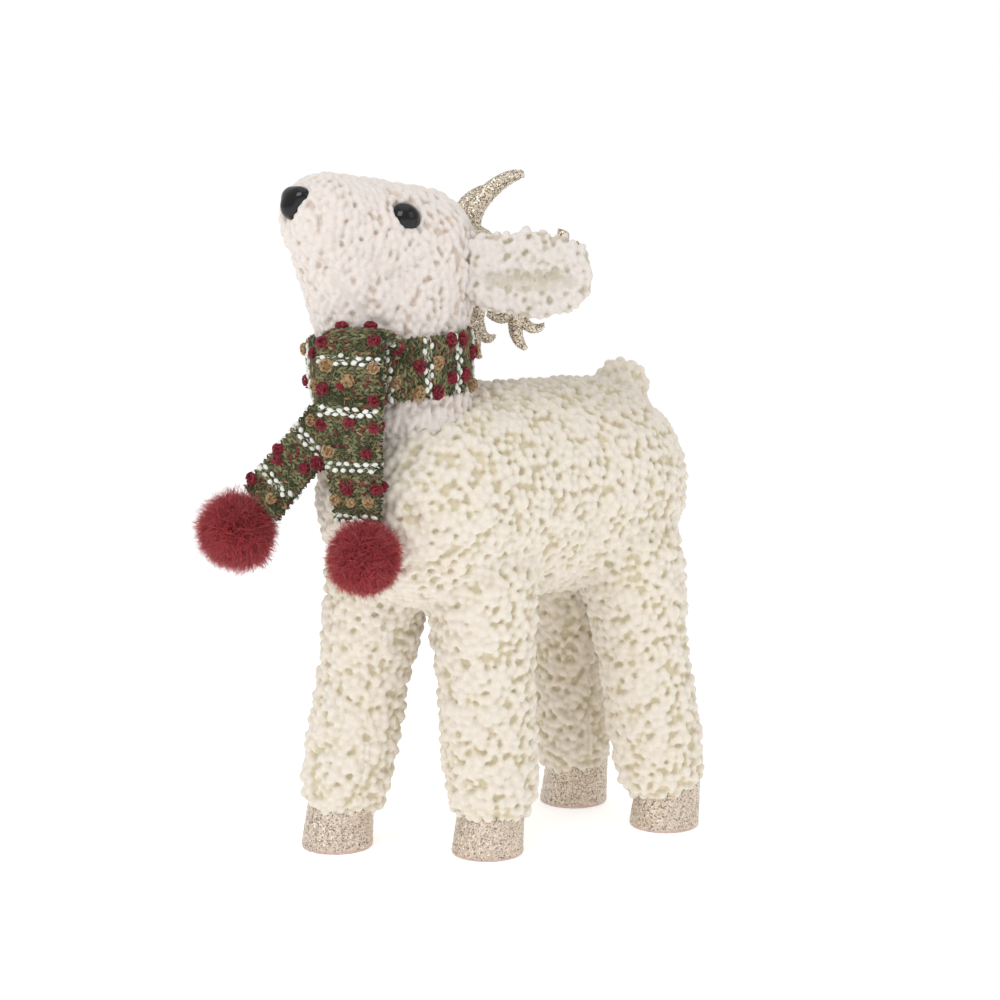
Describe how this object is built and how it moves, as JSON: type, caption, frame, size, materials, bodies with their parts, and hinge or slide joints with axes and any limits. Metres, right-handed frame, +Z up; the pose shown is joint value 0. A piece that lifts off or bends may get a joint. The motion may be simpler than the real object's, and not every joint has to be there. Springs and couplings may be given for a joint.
{
  "type": "plush fawn ornament",
  "caption": "Standing plush fawn with curled fleece body, moulded glitter antlers and hooves, flat ears, and a knitted scarf ending in fur pom-poms.",
  "frame": {"origin": "on the ground under the middle of the ornament", "axes": "+Z up, the animal faces -Y, its own left side is +X"},
  "size_m": [0.1198, 0.207, 0.2665],
  "materials": {
    "fleece_body": "curled sherpa fleece, ivory",
    "fleece_head": "soft sherpa fleece, warm cream",
    "fleece_ear": "soft sherpa fleece, grey cream",
    "foam": "shaped foam filling",
    "wire": "soft steel wire",
    "hoof_glitter": "champagne glitter over moulded plastic",
    "antler_glitter": "coarse gold glitter over moulded plastic",
    "glossy_black": "polished black",
    "washer": "moulded, natural white",
    "knit": "olive wool knit with red, tan and white slubs",
    "fur": "long-pile faux fur, raspberry red"
  },
  "bodies": {
    "animal": {"torso_cover": "fleece_body", "tail": "fleece_body", "front_left_leg_cover": "fleece_body", "front_right_leg_cover": "fleece_body", "rear_left_leg_cover": "fleece_body", "rear_right_leg_cover": "fleece_body", "head_cover": "fleece_head", "torso_core": "foam", "head_core": "foam", "front_left_leg_core": "foam", "front_right_leg_core": "foam", "rear_left_leg_core": "foam", "rear_right_leg_core": "foam", "front_leg_wire": "wire", "rear_leg_wire": "wire", "spine_wire": "wire", "front_left_hoof": "hoof_glitter", "front_right_hoof": "hoof_glitter", "rear_left_hoof": "hoof_glitter", "rear_right_hoof": "hoof_glitter", "left_antler": "antler_glitter", "right_antler": "antler_glitter", "nose": "glossy_black", "left_eye": "glossy_black", "right_eye": "glossy_black", "left_eye_washer": "washer", "right_eye_washer": "washer", "scarf_collar": "knit", "scarf_knot": "knit"},
    "left_ear": {"left_ear": "fleece_ear"},
    "right_ear": {"right_ear": "fleece_ear"},
    "scarf_front": {"scarf_front_end": "knit"},
    "front_pompom": {"front_pompom": "fur"},
    "scarf_side": {"scarf_side_end": "knit"},
    "side_pompom": {"side_pompom": "fur"}
  },
  "joints": [
    {"name": "left_ear_flop", "type": "hinge", "parent": "animal", "child": "left_ear", "pos_m": [0.022, -0.0118, 0.2285], "axis": [0, 0, 1], "range_deg": [-15, 20], "stiffness_Nm_per_rad": 0.05},
    {"name": "right_ear_flop", "type": "hinge", "parent": "animal", "child": "right_ear", "pos_m": [-0.022, -0.0118, 0.2285], "axis": [0, 0, -1], "range_deg": [-15, 20], "stiffness_Nm_per_rad": 0.05},
    {"name": "front_end_swing", "type": "hinge", "parent": "animal", "child": "scarf_front", "pos_m": [0.0203, -0.0675, 0.182], "axis": [-0.9063, -0.4226, 0], "range_deg": [0, 32]},
    {"name": "front_pompom_swing", "type": "hinge", "parent": "scarf_front", "child": "front_pompom", "pos_m": [0.0183, -0.0632, 0.1403], "axis": [-0.9063, -0.4226, 0], "range_deg": [0, 22]},
    {"name": "side_end_bend", "type": "hinge", "parent": "animal", "child": "scarf_side", "pos_m": [-0.0017, -0.0648, 0.171], "axis": [-0.8199, -0.1502, 0.5525], "range_deg": [-18, 3], "stiffness_Nm_per_rad": 0.08},
    {"name": "side_pompom_swing", "type": "hinge", "parent": "scarf_side", "child": "side_pompom", "pos_m": [-0.0172, -0.08144, 0.14348], "axis": [-0.8199, -0.1502, 0.5525], "range_deg": [-12, 14], "stiffness_Nm_per_rad": 0.05}
  ]
}
